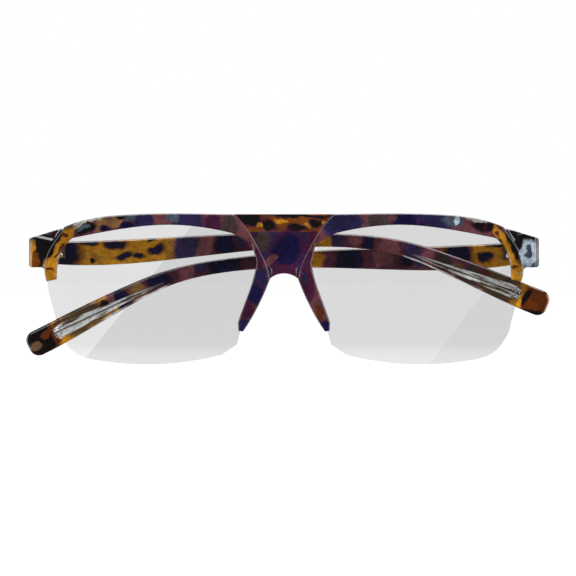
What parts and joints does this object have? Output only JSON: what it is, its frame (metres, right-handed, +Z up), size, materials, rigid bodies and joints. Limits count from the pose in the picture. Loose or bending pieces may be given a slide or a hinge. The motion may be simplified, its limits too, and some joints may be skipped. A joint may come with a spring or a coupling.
{
  "type": "reading glasses",
  "caption": "Half-rim reading glasses in tortoiseshell plastic, folded shut: a brow-bar front with a keystone bridge and nose arms, clear lenses, and two temples on small metal hinges.",
  "frame": {"origin": "crest of the bridge's arch, half way from front to back, where it rests on the nose", "axes": "+X to the wearer's left along the front, +Y from the front towards the face, +Z up"},
  "size_m": [0.1445, 0.0212, 0.0413],
  "materials": {
    "tortoise_plastic": "polished translucent tortoiseshell, amber with navy and plum blotches",
    "lens_plastic": "clear, polished, faintly grey",
    "hinge_steel": "satin nickel-plated",
    "screw_steel": "bright nickel-plated"
  },
  "bodies": {
    "front": {"bridge": "tortoise_plastic", "left_rim": "tortoise_plastic", "left_lens": "lens_plastic", "left_front_hinge_leaf": "hinge_steel", "left_front_leaf_screws": "screw_steel", "left_hinge_screw": "screw_steel", "right_rim": "tortoise_plastic", "right_lens": "lens_plastic", "right_front_hinge_leaf": "hinge_steel", "right_front_leaf_screws": "screw_steel", "right_hinge_screw": "screw_steel"},
    "left_temple": {"left_temple": "tortoise_plastic", "left_temple_hinge_leaf": "hinge_steel", "left_temple_leaf_screws": "screw_steel"},
    "right_temple": {"right_temple": "tortoise_plastic", "right_temple_hinge_leaf": "hinge_steel", "right_temple_leaf_screws": "screw_steel"}
  },
  "joints": [
    {"name": "left_temple_hinge", "type": "hinge", "parent": "front", "child": "left_temple", "pos_m": [0.065, 0.0086, 0.0061], "axis": [0.0419, 0, -0.9991], "range_deg": [0, 90.5]},
    {"name": "right_temple_hinge", "type": "hinge", "parent": "front", "child": "right_temple", "pos_m": [-0.065, 0.0086, 0.0061], "axis": [-0.0419, 0, 0.9991], "range_deg": [0, 94]}
  ]
}
